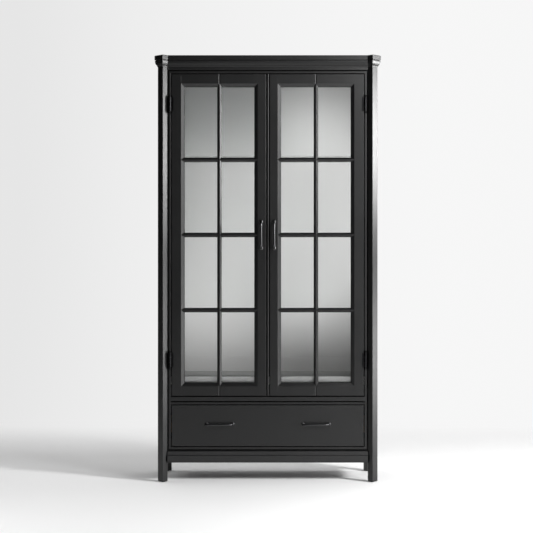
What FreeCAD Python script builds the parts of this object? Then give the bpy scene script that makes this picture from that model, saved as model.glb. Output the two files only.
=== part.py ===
import FreeCAD, Part
import math
import os

# Free-standing display cabinet: two glazed doors above one wide drawer, on four legs.
# Millimetres, +Z up, the front faces -Y, +X is to the right of someone facing the front.
# The origin is on the floor, in the middle of the footprint.

V = FreeCAD.Vector
ROOT2 = math.sqrt(2.0)

# ---- overall sizes ----
width = 1000.0             # over the corners of the front posts
depth = 400.0              # over the cornice, front corner to back
height = 1937.5            # floor to top

# ---- corner posts ----
post_side = 35.0           # front post: a square bar turned 45 degrees, one arris to the front
post_flat = 5.0            # cut off the post's two inner corners, where frame and side panel butt
frame_setback = 17.7       # arris of the front post back to the plane of doors and frame
rear_post_width = 40.0
rear_post_depth = 34.0
post_round = 1.2           # arrises of the front posts
post_foot_ease = 1.0       # bevel round the bottom of each leg
glide_height = 3.0
glide_radius = 9.0

# ---- heights of the front, from the floor up ----
leg_clearance = 88.0       # floor to the underside of the base moulding
base_height = 53.0
base_step_height = 33.0    # lower, prouder part of the base moulding
base_proud = 7.0
base_upper_proud = 3.0
base_quirk = 7.5           # shadow groove over the base moulding
strip_width = 10.0         # flat strip that frames the doors and the drawer
gap = 3.5                  # clearance round doors and drawer front
door_sill_gap = 5.0        # under the doors, where dust has to clear
drawer_height = 186.5
mid_quirk = 5.0            # shadow groove between the drawer strip and the middle rail
mid_rail_height = 19.5
top_quirk = 5.0            # shadow groove under the cornice
frieze_height = 13.5       # plain band between that groove and the cornice
cornice_height = 31.5      # moulding under the top board
top_board_thickness = 21.0

# ---- face frame ----
frame_thickness = 22.0
quirk_depth = 8.0
post_quirk = 5.5           # shadow groove between the outer strips and the posts
cornice_rebate = 4.0       # the cornice moulding is let into the frame by this much
edge_round = 1.2           # eased edges of strips, doors and drawer front
side_thickness = 18.0

# ---- cornice ----
top_overhang = 10.5        # top board beyond posts and frame
cornice_reach = 8.9        # upper member beyond posts and frame
cornice_mid_reach = 5.0    # its lower edge
cornice_cove_reach = 3.8   # top of the cove under it
cornice_low_reach = 0.9
cornice_lip = 1.2
cove_height = 6.8          # from the bottom of the moulding up to the groove between its members
member_groove = 2.0        # height of that groove
member_groove_reach = 1.6
fascia_height = 5.0        # upright part at the top of the upper member
shadow_step_height = 2.5   # recess under the top board
shadow_step_depth = 2.5

# ---- doors ----
door_thickness = 21.0
bevel_width = 14.5
bevel_depth = 9.0
hinge_stile_sight = 57.5   # edge of the door to the glass, bevel included
meeting_stile_sight = 52.0
rail_sight = 57.0
bar_width = 20.5
bar_face = 5.0             # flat on the front of a glazing bar
bar_setback = 1.0          # front of a bar behind the front of the door
cross_bar_count = 3
glass_thickness = 4.0
glass_lip = 1.2            # square edge left between the bevel and the glass
glass_rebate = 8.0
glass_clearance = 1.0
bead_width = 9.0           # glazing bead behind the glass
rail_groove_width = 8.0    # V groove across each rail, in line with the upright bar
rail_groove_depth = 2.6
astragal_edge_x = 6.0      # right-hand side of the astragal, just past the middle
astragal_width = 9.5
astragal_quirk = 4.5
astragal_quirk_depth = 5.0

# ---- hinges ----
hinge_length = 64.0
barrel_radius = 6.0
barrel_over_strip = 4.5    # barrel axis outside the jamb
barrel_forward = 4.0       # barrel axis in front of the frame
pin_radius = 2.5
pin_running_clearance = 0.05
knuckle_count = 3
knuckle_gap = 0.35
leaf_thickness = 1.2
leaf_depth = 18.0
flange_width = 8.0         # leg of the door leaf on the front of the stile
hinge_below_door_top = 136.5
hinge_above_door_bottom = 162.0
notch_clearance = 0.6
finial_radius = 4.2

# ---- handles ----
handle_spacing = 120.0     # between the feet
handle_projection = 30.0
handle_bar_radius = 4.7
handle_bow_angle = 7.0     # how much the grip curves each side of its middle, in degrees
handle_bend = 16.0
handle_foot_radius = 8.5
handle_foot_height = 6.0
handle_foot_rim = 1.6
handle_from_stile_edge = 21.5
screw_radius = 2.0
screw_head_radius = 4.0
screw_head_height = 2.0
screw_grip = 6.0           # length of the screw inside the handle's foot
drawer_handle_raise = 6.0  # drawer handles over the middle of the drawer front

# ---- drawer box ----
drawer_front_thickness = 21.0
drawer_side_thickness = 12.0
drawer_side_height = 140.0
drawer_side_gap = 6.0      # jamb to drawer side
drawer_box_depth = 312.0
drawer_box_lift = 5.0      # underside of the box over the lower edge of the drawer front
drawer_bottom_thickness = 6.0
drawer_bottom_groove = 6.0
drawer_bottom_height = 8.0
drawer_back_drop = 12.0
runner_height = 14.0
runner_depth = 5.5         # how far the runner reaches into the groove of the drawer side
runner_block_height = 46.0
runner_centre = 78.0       # over the lower edge of the drawer side
slide_clearance = 0.5

# ---- inside ----
deck_height = 478.0        # top of the compartment floor, level with the glass
deck_thickness = 18.0
bottom_board_thickness = 12.0
back_panel_thickness = 6.0
back_groove = 6.0          # depth of the groove that holds the back panel
back_groove_clearance = 0.5
back_rail_thickness = 10.0
back_rail_height = 60.0
shelf_thickness = 6.0
shelf_clearance = 3.0
shelf_front_gap = 14.0     # back of the face frame to the front edge of a shelf
shelf_rear_gap = 3.0       # rear post to the rear edge of a shelf
shelf_lifts = (-3.0, 7.0, 17.0)    # top of each shelf over the middle of its cross bar
shelf_pin_radius = 2.5
shelf_pin_length = 18.0
shelf_pin_in_hole = 8.0
shelf_pin_inset = 45.0

# ---- catches ----
catch_width = 42.0
catch_depth = 14.0
catch_height = 34.0
catch_drop = 18.0          # part of the catch below the top rail
catch_from_centre = 22.0
strike_thickness = 0.7
strike_width = 34.0
strike_height = 12.0

# ---- stop laths behind the doors ----
stop_thickness = 8.0
stop_lap = 8.5             # behind the edge of a door
stop_post_gap = 1.5
stop_width = 26.0
stop_middle_left = 8.0     # middle lath, left of the centre line
stop_middle_right = 21.0
stop_catch_gap = 0.5

# ---- places that follow ----
half_width = width / 2.0
post_half_diagonal = post_side / ROOT2
back_y = depth / 2.0
arris_y = -depth / 2.0 + top_overhang * ROOT2
post_x = half_width - post_half_diagonal
post_y = arris_y + post_half_diagonal
face_y = arris_y + frame_setback
frame_back_y = face_y + frame_thickness
side_x = post_x + post_half_diagonal - frame_setback
side_inner_x = side_x - side_thickness
post_inner_x = post_x - post_half_diagonal + post_flat
post_rear_y = post_y + post_half_diagonal - post_flat
rear_post_front_y = back_y - rear_post_depth
rear_post_inner_x = half_width - rear_post_width
strip_outer_x = post_inner_x - post_quirk
jamb_x = strip_outer_x - strip_width
door_edge_x = jamb_x - gap
back_panel_y = back_y - back_rail_thickness - back_panel_thickness

base_top = leg_clearance + base_height
drawer_strip_bottom = base_top + base_quirk
drawer_opening_bottom = drawer_strip_bottom + strip_width
drawer_bottom_z = drawer_opening_bottom + gap
drawer_top_z = drawer_bottom_z + drawer_height
drawer_opening_top = drawer_top_z + gap
mid_quirk_bottom = drawer_opening_top + strip_width
mid_rail_bottom = mid_quirk_bottom + mid_quirk
door_opening_bottom = mid_rail_bottom + mid_rail_height
door_bottom_z = door_opening_bottom + door_sill_gap
post_top = height - top_board_thickness
cornice_bottom = post_top - cornice_height
frieze_bottom = cornice_bottom - frieze_height
top_quirk_bottom = frieze_bottom - top_quirk
door_opening_top = top_quirk_bottom - strip_width
door_top_z = door_opening_top - gap
door_back_y = face_y + door_thickness

glass_y = face_y + bevel_depth + glass_lip
glass_back_y = glass_y + glass_thickness
glass_bottom_z = door_bottom_z + rail_sight
glass_top_z = door_top_z - rail_sight
pane_height = (glass_top_z - glass_bottom_z - cross_bar_count * bar_width) / (cross_bar_count + 1)
cross_bar_heights = [
    glass_bottom_z + (i + 1) * pane_height + (i + 0.5) * bar_width for i in range(cross_bar_count)
]

# Each door is described on its own side of the cabinet as if it were the right one.
right_door_inner_x = astragal_edge_x + gap
left_stile_inner_x = astragal_width + astragal_quirk - astragal_edge_x
glass_inner_x = left_stile_inner_x + meeting_stile_sight
glass_outer_x = door_edge_x - hinge_stile_sight
bar_x = (glass_inner_x + glass_outer_x) / 2.0
handle_x = left_stile_inner_x + handle_from_stile_edge
handle_z = cross_bar_heights[cross_bar_count // 2]

hinge_x = jamb_x + barrel_over_strip
hinge_y = face_y - barrel_forward
hinge_heights = (door_bottom_z + hinge_above_door_bottom, door_top_z - hinge_below_door_top)


# ---- helpers ----
def box(x0, y0, z0, x1, y1, z1):
    return Part.makeBox(x1 - x0, y1 - y0, z1 - z0, V(x0, y0, z0))


def polygon_face(points):
    return Part.Face(Part.makePolygon(list(points) + [points[0]]))


def prism_xy(points, z0, z1):
    """Upright solid with this outline in plan."""
    return polygon_face([V(x, y, z0) for x, y in points]).extrude(V(0, 0, z1 - z0))


def prism_xz(points, y0, y1):
    """Solid with this outline seen from the front."""
    return polygon_face([V(x, y0, z) for x, z in points]).extrude(V(0, y1 - y0, 0))


def prism_yz(points, x0, x1):
    """Solid with this outline seen from the side."""
    return polygon_face([V(x0, y, z) for y, z in points]).extrude(V(x1 - x0, 0, 0))


def mirrored(shape):
    return shape.mirror(V(0, 0, 0), V(1, 0, 0))


def pair(shape):
    return [mirrored(shape), shape]


def edges_in_plane(shape, axis, value, tolerance=1e-4):
    """Edges that lie wholly in the plane where the coordinate axis has this value."""
    found = []
    for edge in shape.Edges:
        ends = [vertex.Point[axis] for vertex in edge.Vertexes]
        if all(abs(end - value) < tolerance for end in ends):
            found.append(edge)
    return found


def save(name, *shapes):
    solids = [solid for shape in shapes for solid in shape.Solids]
    whole = solids[0] if len(solids) == 1 else Part.Compound(solids)
    whole.exportStep("parts/" + name + ".step")
    bad = [solid for solid in solids if not solid.isValid() or solid.Volume <= 0]
    print(name, len(solids), "solids", "INVALID" if bad else "")


# ---- outline of the carcass in plan, and what follows it ----
def carcass_outline(offset=0.0):
    """Right half of the plan, from the front to the back, moved outwards by offset."""
    points = [
        (0.0, face_y),
        (post_x - frame_setback, face_y),
        (post_x, arris_y),
        (half_width, post_y),
        (side_x, post_y + frame_setback),
        (side_x, rear_post_front_y),
        (half_width, rear_post_front_y),
        (half_width, back_y),
    ]
    moved = []
    for before, here, after in zip([None] + points[:-1], points, points[1:] + [None]):
        moved.append(offset_corner(before, here, after, offset))
    return moved


def offset_corner(before, here, after, offset):
    """Where the two sides that meet at a corner meet again once both have moved outwards."""
    if before is None:
        return (here[0], here[1] - offset)
    first = outward_normal(before, here)
    if after is None:
        return (here[0] + offset * first[0], here[1])
    second = outward_normal(here, after)
    bisector = (first[0] + second[0], first[1] + second[1])
    reach = 2.0 * offset / (bisector[0] ** 2 + bisector[1] ** 2)
    return (here[0] + reach * bisector[0], here[1] + reach * bisector[1])


def outward_normal(start, end):
    run = (end[0] - start[0], end[1] - start[1])
    length = math.hypot(run[0], run[1])
    return (run[1] / length, -run[0] / length)


def closed_outline(offset):
    right = carcass_outline(offset)
    left = [(-x, y) for x, y in reversed(right[1:])]
    return left + right[1:]


def front_post():
    corners = [
        (post_x, arris_y),
        (half_width, post_y),
        (post_x + post_flat, post_rear_y),
        (post_x - post_flat, post_rear_y),
        (post_inner_x, post_y + post_flat),
        (post_inner_x, post_y - post_flat),
    ]
    post = prism_xy(corners, glide_height, post_top)
    arrises = edges_in_plane(post, 1, arris_y) + edges_in_plane(post, 0, half_width)
    post = post.makeFillet(post_round, arrises)
    return post.makeChamfer(post_foot_ease, edges_in_plane(post, 2, glide_height))


def rear_post():
    """Square post, grooved on its inner face for the back panel."""
    post = box(rear_post_inner_x, rear_post_front_y, glide_height, half_width, back_y, post_top)
    post = post.makeChamfer(post_foot_ease, edges_in_plane(post, 2, glide_height))
    groove = box(rear_post_inner_x - 1, back_panel_y, leg_clearance,
                 rear_post_inner_x + back_groove, back_panel_y + back_panel_thickness, height)
    return post.cut(groove)


def glides():
    found = []
    rear_x = half_width - rear_post_width / 2.0
    for x, y in ((post_x, post_y), (rear_x, back_y - rear_post_depth / 2.0)):
        for side in (-1, 1):
            found.append(Part.makeCylinder(glide_radius, glide_height, V(side * x, y, 0)))
    return found


# ---- cornice and top board ----
def cornice_profile():
    """Section of the moulding at x = 0, where it faces the front."""
    def at(reach, z):
        return V(0, face_y - reach, z)

    cove_top = cornice_bottom + cove_height
    member_z = cove_top + member_groove
    step_z = post_top - shadow_step_height
    recess = cornice_reach - shadow_step_depth
    corners = {
        "back_low": at(-cornice_rebate, cornice_bottom),
        "lip_low": at(cornice_low_reach, cornice_bottom),
        "lip_high": at(cornice_low_reach, cornice_bottom + cornice_lip),
        "cove_high": at(cornice_cove_reach, cove_top),
        "groove_low": at(member_groove_reach, cove_top),
        "groove_high": at(member_groove_reach, member_z),
        "member_low": at(cornice_mid_reach, member_z),
        "member_high": at(cornice_reach, step_z - fascia_height),
        "step_low": at(cornice_reach, step_z),
        "step_in": at(recess, step_z),
        "step_high": at(recess, post_top),
        "back_high": at(-cornice_rebate, post_top),
    }

    def line(start, end):
        return Part.makeLine(corners[start], corners[end])

    def curve(start, end, sag):
        """Hollow for a positive sag, rounded outwards for a negative one."""
        a = corners[start]
        b = corners[end]
        chord = b.sub(a)
        inward = V(0, chord.z, -chord.y)
        inward.normalize()
        middle = a.add(b).multiply(0.5).add(inward.multiply(sag))
        return Part.Arc(a, middle, b).toShape()

    edges = [
        line("back_low", "lip_low"),
        line("lip_low", "lip_high"),
        curve("lip_high", "cove_high", 0.6),
        line("cove_high", "groove_low"),
        line("groove_low", "groove_high"),
        line("groove_high", "member_low"),
        curve("member_low", "member_high", -0.7),
        line("member_high", "step_low"),
        line("step_low", "step_in"),
        line("step_in", "step_high"),
        line("step_high", "back_high"),
        line("back_high", "back_low"),
    ]
    return Part.Wire(edges)


def cornice_ring():
    """The moulding run round three sides, mitred at every corner of the carcass."""
    path = Part.makePolygon([V(x, y, cornice_bottom) for x, y in closed_outline(0.0)])
    start = path.Vertexes[0].Point
    profile = cornice_profile()
    # stand the section square to the first run, which goes along the left side
    profile.rotate(V(0, face_y, 0), V(0, 0, 1), -90)
    profile.translate(V(start.x, start.y - face_y, 0))
    return path.makePipeShell([profile], True, False, 1)


def cornice_parts(posts):
    ring = cornice_ring()
    for post in posts:
        ring = ring.cut(post)
    reach = width
    front = ring.common(box(-post_x, -reach, 0, post_x, reach, height))
    right = ring.common(box(post_x, -reach, 0, reach, reach, height))
    left = ring.common(box(-reach, -reach, 0, -post_x, reach, height))
    return left, front, right


def top_board():
    board = prism_xy(closed_outline(top_overhang), post_top, height)
    upper = [e for e in edges_in_plane(board, 2, height) if not edges_on_back(e)]
    board = board.makeFillet(2.5, upper)
    lower = [e for e in edges_in_plane(board, 2, post_top) if not edges_on_back(e)]
    return board.makeFillet(1.0, lower)


def edges_on_back(edge):
    return all(abs(vertex.Point.y - back_y) < 1e-4 for vertex in edge.Vertexes)


# ---- face frame ----
def barrel_space(radius_extra, half_length_extra):
    """Room for the hinge barrels in the right jamb."""
    found = []
    for z in hinge_heights:
        half = hinge_length / 2.0 + half_length_extra
        start = V(hinge_x, hinge_y, z - half)
        found.append(Part.makeCylinder(barrel_radius + radius_extra, 2.0 * half, start))
    return found


def face_frame():
    """The whole frame in one, with its openings, strips and shadow grooves."""
    deep_y = face_y + quirk_depth
    front_y = face_y - 1.0
    frame = box(-post_inner_x, face_y, base_top, post_inner_x, frame_back_y, post_top)
    cuts = [
        box(-jamb_x, front_y, door_opening_bottom, jamb_x, frame_back_y + 1, door_opening_top),
        box(-jamb_x, front_y, drawer_opening_bottom, jamb_x, frame_back_y + 1, drawer_opening_top),
        box(-jamb_x, front_y, mid_quirk_bottom, jamb_x, deep_y, mid_rail_bottom),
        box(-width, front_y, base_top - 1, width, deep_y, drawer_strip_bottom),
        box(-width, front_y, top_quirk_bottom, width, deep_y, frieze_bottom),
        box(-width, front_y, cornice_bottom, width, face_y + cornice_rebate, height),
    ]
    cuts += pair(box(strip_outer_x, front_y, 0, width, deep_y, frieze_bottom))
    for cut in cuts:
        frame = frame.cut(cut)
    eased = [e for e in edges_in_plane(frame, 1, face_y) if e.BoundBox.ZMin < cornice_bottom - 0.01]
    return frame.makeFillet(edge_round, eased)


def frame_members(frame):
    """Cuts the frame at its joints: mitred outer corners, and the middle rail between the stiles."""
    y0 = face_y - 1.0
    y1 = frame_back_y + 1.0
    stile = prism_xz([
        (jamb_x, drawer_opening_bottom), (jamb_x, door_opening_top),
        (strip_outer_x, top_quirk_bottom), (strip_outer_x, post_top),
        (post_inner_x, post_top), (post_inner_x, base_top),
        (strip_outer_x, base_top), (strip_outer_x, drawer_strip_bottom),
    ], y0, y1)
    top = prism_xz([
        (-jamb_x, door_opening_top), (jamb_x, door_opening_top),
        (strip_outer_x, top_quirk_bottom), (strip_outer_x, post_top),
        (-strip_outer_x, post_top), (-strip_outer_x, top_quirk_bottom),
    ], y0, y1)
    bottom = prism_xz([
        (-jamb_x, drawer_opening_bottom), (jamb_x, drawer_opening_bottom),
        (strip_outer_x, drawer_strip_bottom), (strip_outer_x, base_top),
        (-strip_outer_x, base_top), (-strip_outer_x, drawer_strip_bottom),
    ], y0, y1)
    middle = box(-jamb_x, y0, drawer_opening_top, jamb_x, y1, door_opening_bottom)
    right_stile = frame.common(stile)
    for space in barrel_space(notch_clearance, 2.0 * finial_radius + 1.0):
        right_stile = right_stile.cut(space)
    return {
        "frame_stile_left": mirrored(right_stile),
        "frame_stile_right": right_stile,
        "frame_top_rail": frame.common(top),
        "frame_mid_rail": frame.common(middle),
        "frame_bottom_rail": frame.common(bottom),
    }


# ---- base moulding ----
def base_profile(reach_back):
    """(distance in front of the carcass plane, height) round the section of the moulding."""
    step_z = leg_clearance + base_step_height
    return [
        (-reach_back, leg_clearance),
        (base_proud - 2.5, leg_clearance),
        (base_proud - 2.5, leg_clearance + 5.0),
        (base_proud, leg_clearance + 7.5),
        (base_proud, step_z - 2.0),
        (base_proud - 2.0, step_z),
        (base_upper_proud, step_z),
        (base_upper_proud, base_top - 3.0),
        (base_upper_proud - 3.0, base_top),
        (-reach_back, base_top),
    ]


def base_moulding_front(posts):
    points = [(face_y - proud, z) for proud, z in base_profile(frame_thickness)]
    rail = prism_yz(points, -post_x, post_x)
    # in front of the posts' inner corners the moulding is sawn off square
    beyond = box(post_inner_x, face_y - 2 * base_proud, 0, post_x, post_y - post_flat, base_top + 1)
    for cutter in posts + pair(beyond):
        rail = rail.cut(cutter)
    return rail


def base_moulding_side(posts, front):
    points = [(side_x + proud, z) for proud, z in base_profile(side_thickness)]
    rail = prism_xz(points, post_y, rear_post_front_y).cut(front)
    for post in posts:
        rail = rail.cut(post)
    return rail


# ---- sides, back and inner boards ----
def shelf_pin_places():
    """(y, z) of the pins along each side panel."""
    front = shelf_front_y() + shelf_pin_inset
    rear = shelf_rear_y() - shelf_pin_inset
    return [(y, shelf_z(i) - shelf_pin_radius) for i in range(cross_bar_count) for y in (front, rear)]


def shelf_front_y():
    return frame_back_y + shelf_front_gap


def shelf_rear_y():
    return rear_post_front_y - shelf_rear_gap


def shelf_z(index):
    """Underside of a shelf: each lies behind a cross bar, and so out of sight from in front."""
    return cross_bar_heights[index] + shelf_lifts[index] - shelf_thickness


def side_panel():
    deep_x = side_x - quirk_depth
    y0 = post_rear_y
    y1 = rear_post_front_y
    panel = box(side_inner_x, y0, base_top, side_x, y1, post_top)
    cuts = [
        box(deep_x, y0 - 1, base_top - 1, width, y1 + 1, drawer_strip_bottom),
        box(deep_x, y0 - 1, top_quirk_bottom, width, y1 + 1, frieze_bottom),
        box(side_x - cornice_rebate, y0 - 1, cornice_bottom, width, y1 + 1, height),
        box(deep_x, y0 - 1, base_top - 1, width, y0 + post_quirk, frieze_bottom),
        box(deep_x, y1 - post_quirk, base_top - 1, width, y1 + 1, frieze_bottom),
    ]
    for cut in cuts:
        panel = panel.cut(cut)
    eased = [e for e in edges_in_plane(panel, 0, side_x) if e.BoundBox.ZMin < cornice_bottom - 0.01]
    panel = panel.makeFillet(edge_round, eased)
    for y, z in shelf_pin_places():
        start = V(side_inner_x - 1, y, z)
        panel = panel.cut(Part.makeCylinder(shelf_pin_radius, shelf_pin_in_hole + 1, start, V(1, 0, 0)))
    return panel


def shelf_pins():
    found = []
    for y, z in shelf_pin_places():
        start = V(side_inner_x + shelf_pin_in_hole, y, z)
        found += pair(Part.makeCylinder(shelf_pin_radius, shelf_pin_length, start, V(-1, 0, 0)))
    return found


def glass_shelf(index):
    half = side_inner_x - shelf_clearance
    z = shelf_z(index)
    shelf = box(-half, shelf_front_y(), z, half, shelf_rear_y(), z + shelf_thickness)
    return shelf.makeChamfer(0.8, edges_in_plane(shelf, 1, shelf_front_y()))


def compartment_floor(posts):
    """Floor board notched round the rear posts, with a front lipping behind the middle rail."""
    board = box(-side_inner_x, frame_back_y, deck_height - deck_thickness,
                side_inner_x, back_panel_y, deck_height)
    lipping = box(-side_inner_x, frame_back_y, mid_rail_bottom,
                  side_inner_x, frame_back_y + deck_thickness, deck_height)
    floor = board.fuse(lipping).removeSplitter()
    return notched(floor, posts)


def bottom_board(posts):
    top = drawer_opening_bottom - 1.0
    board = box(-side_inner_x, frame_back_y, top - bottom_board_thickness,
                side_inner_x, back_panel_y, top)
    return notched(board, posts)


def notched(board, posts):
    for post in posts:
        board = board.cut(post)
    return board


def back_panel():
    half = rear_post_inner_x + back_groove - back_groove_clearance
    return box(-half, back_panel_y, leg_clearance, half, back_panel_y + back_panel_thickness, post_top)


def back_rails():
    y0 = back_panel_y + back_panel_thickness
    found = []
    for z in (leg_clearance, post_top - back_rail_height):
        rail = box(-rear_post_inner_x, y0, z, rear_post_inner_x, back_y, z + back_rail_height)
        found.append(rail)
    return found


# ---- doors ----
def rectangle_wire(x0, z0, x1, z1, y):
    return Part.makePolygon([V(x0, y, z0), V(x1, y, z0), V(x1, y, z1), V(x0, y, z1), V(x0, y, z0)])


def door_ring(inner_x):
    """Stiles and rails in one: bevelled to the glass in front, rebated for it behind."""
    ring = box(inner_x, face_y, door_bottom_z, door_edge_x, door_back_y, door_top_z)
    ring = ring.makeFillet(edge_round, edges_in_plane(ring, 1, face_y))
    sight = (glass_inner_x, glass_bottom_z, glass_outer_x, glass_top_z)
    outer = (sight[0] - bevel_width, sight[1] - bevel_width, sight[2] + bevel_width, sight[3] + bevel_width)
    wires = [rectangle_wire(*outer, face_y), rectangle_wire(*sight, face_y + bevel_depth)]
    bevel = Part.makeLoft(wires, True, True)
    hole = box(sight[0], face_y - 1, sight[1], sight[2], door_back_y + 1, sight[3])
    r = glass_rebate
    rebate = box(sight[0] - r, glass_y, sight[1] - r, sight[2] + r, door_back_y + 1, sight[3] + r)
    return ring.cut(bevel).cut(hole).cut(rebate)


def door_members(ring, inner_x):
    """Stiles run through and rails stand between them; the bevels meet in a mitre."""
    y0 = face_y - 1.0
    y1 = door_back_y + 1.0
    xi = glass_inner_x - bevel_width
    xo = glass_outer_x + bevel_width
    zb = glass_bottom_z - bevel_width
    zt = glass_top_z + bevel_width
    hinge_stile = prism_xz([
        (door_edge_x, door_bottom_z), (xo, door_bottom_z), (xo, zb), (glass_outer_x, glass_bottom_z),
        (glass_outer_x, glass_top_z), (xo, zt), (xo, door_top_z), (door_edge_x, door_top_z),
    ], y0, y1)
    meeting_stile = prism_xz([
        (inner_x, door_bottom_z), (xi, door_bottom_z), (xi, zb), (glass_inner_x, glass_bottom_z),
        (glass_inner_x, glass_top_z), (xi, zt), (xi, door_top_z), (inner_x, door_top_z),
    ], y0, y1)
    bottom = prism_xz([
        (xi, door_bottom_z), (xo, door_bottom_z), (xo, zb),
        (glass_outer_x, glass_bottom_z), (glass_inner_x, glass_bottom_z), (xi, zb),
    ], y0, y1)
    top = prism_xz([
        (xi, door_top_z), (xo, door_top_z), (xo, zt),
        (glass_outer_x, glass_top_z), (glass_inner_x, glass_top_z), (xi, zt),
    ], y0, y1)
    groove = rail_groove()
    return {
        "hinge_stile": ring.common(hinge_stile),
        "meeting_stile": ring.common(meeting_stile),
        "top_rail": ring.common(top).cut(groove),
        "bottom_rail": ring.common(bottom).cut(groove),
    }


def rail_groove():
    half = rail_groove_width / 2.0
    points = [(bar_x - half, face_y - 0.01), (bar_x + half, face_y - 0.01), (bar_x, face_y + rail_groove_depth)]
    return prism_xy(points, door_bottom_z - 1, door_top_z + 1)


def bar_section():
    """(across, behind the door's face) round the section of a glazing bar."""
    half = bar_width / 2.0
    face = bar_face / 2.0
    deep = bevel_depth + glass_lip
    return [
        (-face, bar_setback), (face, bar_setback), (half, bevel_depth), (half, deep),
        (-half, deep), (-half, bevel_depth),
    ]


def glazing_bars(ring):
    """One upright bar and short cross bars, each end scribed to what it meets."""
    zb = glass_bottom_z - bevel_width
    zt = glass_top_z + bevel_width
    upright = prism_xy([(bar_x + a, face_y + d) for a, d in bar_section()], zb, zt).cut(ring)
    found = [upright]
    for z in cross_bar_heights:
        points = [(face_y + d, z + a) for a, d in bar_section()]
        bar = prism_yz(points, glass_inner_x - bevel_width, glass_outer_x + bevel_width)
        found += bar.cut(ring).cut(upright).Solids
    return found


def door_glass():
    reach = glass_rebate - glass_clearance
    return box(glass_inner_x - reach, glass_y, glass_bottom_z - reach,
               glass_outer_x + reach, glass_back_y, glass_top_z + reach)


def glazing_beads():
    """Four mitred beads that hold the glass in its rebate from behind."""
    x0 = glass_inner_x - glass_rebate
    x1 = glass_outer_x + glass_rebate
    z0 = glass_bottom_z - glass_rebate
    z1 = glass_top_z + glass_rebate
    b = bead_width
    corners = [(x0, z0), (x1, z0), (x1, z1), (x0, z1)]
    inner = [(x0 + b, z0 + b), (x1 - b, z0 + b), (x1 - b, z1 - b), (x0 + b, z1 - b)]
    found = []
    for i in range(4):
        j = (i + 1) % 4
        points = [corners[i], corners[j], inner[j], inner[i]]
        found.append(prism_xz(points, glass_back_y, door_back_y))
    return found


def astragal():
    """Rounded strip on the meeting edge of the left door, with a shadow groove beside it."""
    x0 = astragal_edge_x - astragal_width
    strip = box(x0, face_y, door_bottom_z, astragal_edge_x, door_back_y, door_top_z)
    long_edges = [e for e in edges_in_plane(strip, 1, face_y) if e.Length > 2 * astragal_width]
    strip = strip.makeFillet(astragal_width * 0.36, long_edges)
    quirk_y = face_y + astragal_quirk_depth
    tongue = box(x0 - astragal_quirk, quirk_y, door_bottom_z, x0, door_back_y, door_top_z)
    return strip.fuse(tongue).removeSplitter()


# ---- hinges ----
def knuckle_spans(centre_z):
    """(bottom, top, whether it belongs to the frame) of each knuckle of one hinge."""
    pitch = hinge_length / knuckle_count
    bottom = centre_z - hinge_length / 2.0
    spans = []
    for i in range(knuckle_count):
        low = bottom + i * pitch + (knuckle_gap / 2.0 if i else 0.0)
        high = bottom + (i + 1) * pitch - (knuckle_gap / 2.0 if i < knuckle_count - 1 else 0.0)
        spans.append((low, high, i % 2 == 0))
    return spans


def knuckle(low, high, bore_radius):
    start = V(hinge_x, hinge_y, low)
    barrel = Part.makeCylinder(barrel_radius, high - low, start)
    return barrel, Part.makeCylinder(bore_radius, high - low + 2.0, start.sub(V(0, 0, 1)))


def frame_leaf(centre_z):
    """Leaf on the jamb, with the outer and middle knuckles."""
    low = centre_z - hinge_length / 2.0
    x0 = jamb_x - leaf_thickness
    leaf = box(x0, face_y + 3.0, low, jamb_x, face_y + 3.0 + leaf_depth, low + hinge_length)
    bores = []
    for bottom, top, on_frame in knuckle_spans(centre_z):
        if on_frame:
            barrel, bore = knuckle(bottom, top, pin_radius)
            tongue = box(x0, hinge_y, bottom, jamb_x, face_y + 4.0, top)
            leaf = leaf.fuse(tongue).fuse(barrel)
            bores.append(bore)
    for bore in bores:
        leaf = leaf.cut(bore)
    return leaf.removeSplitter()


def door_leaf(centre_z):
    """Leaf bent round the edge of the door, with the knuckles between those of the frame."""
    low = centre_z - hinge_length / 2.0
    high = low + hinge_length
    front_y = face_y - leaf_thickness
    leg = box(door_edge_x, front_y, low, door_edge_x + leaf_thickness, face_y + leaf_depth, high)
    flange = box(door_edge_x - flange_width, front_y, low, door_edge_x + leaf_thickness, face_y, high)
    leaf = leg.fuse(flange)
    bores = []
    for bottom, top, on_frame in knuckle_spans(centre_z):
        if not on_frame:
            barrel, bore = knuckle(bottom, top, pin_radius + pin_running_clearance)
            tongue = box(door_edge_x, front_y, bottom, hinge_x - barrel_radius / 2.0, face_y, top)
            leaf = leaf.fuse(tongue).fuse(barrel)
            bores.append(bore)
    for bore in bores:
        leaf = leaf.cut(bore)
    return leaf.removeSplitter()


def turned(profile):
    """Solid turned about the Z axis; the profile is (radius, height) from one end to the other."""
    points = [V(0, 0, profile[0][1])] + [V(r, 0, z) for r, z in profile] + [V(0, 0, profile[-1][1])]
    return polygon_face(points).revolve(V(0, 0, 0), V(0, 0, 1), 360)


def hinge_pin(centre_z):
    """Pin with a turned finial at each end."""
    half = hinge_length / 2.0
    r = finial_radius
    neck_z = half + 2.2
    upper = [
        (pin_radius, half), (r, half), (r * 0.6, neck_z), (r, neck_z + r * 0.6), (r * 0.4, neck_z + r * 1.7),
    ]
    lower = [(radius, -z) for radius, z in reversed(upper)]
    pin = turned(lower + upper)
    pin.translate(V(hinge_x, hinge_y, centre_z))
    return pin


# ---- handles ----
def bar_bend(centre, radius, start_angle, turn):
    """Round bar bent in a vertical plane x = 0; angles are from the outward direction, upwards."""
    a = math.radians(start_angle)
    start = centre.add(V(0, -radius * math.cos(a), radius * math.sin(a)))
    along = V(0, math.sin(a), math.cos(a))
    section = Part.Face(Part.Wire(Part.makeCircle(handle_bar_radius, start, along)))
    return section.revolve(centre, V(-1, 0, 0), turn)


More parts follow.
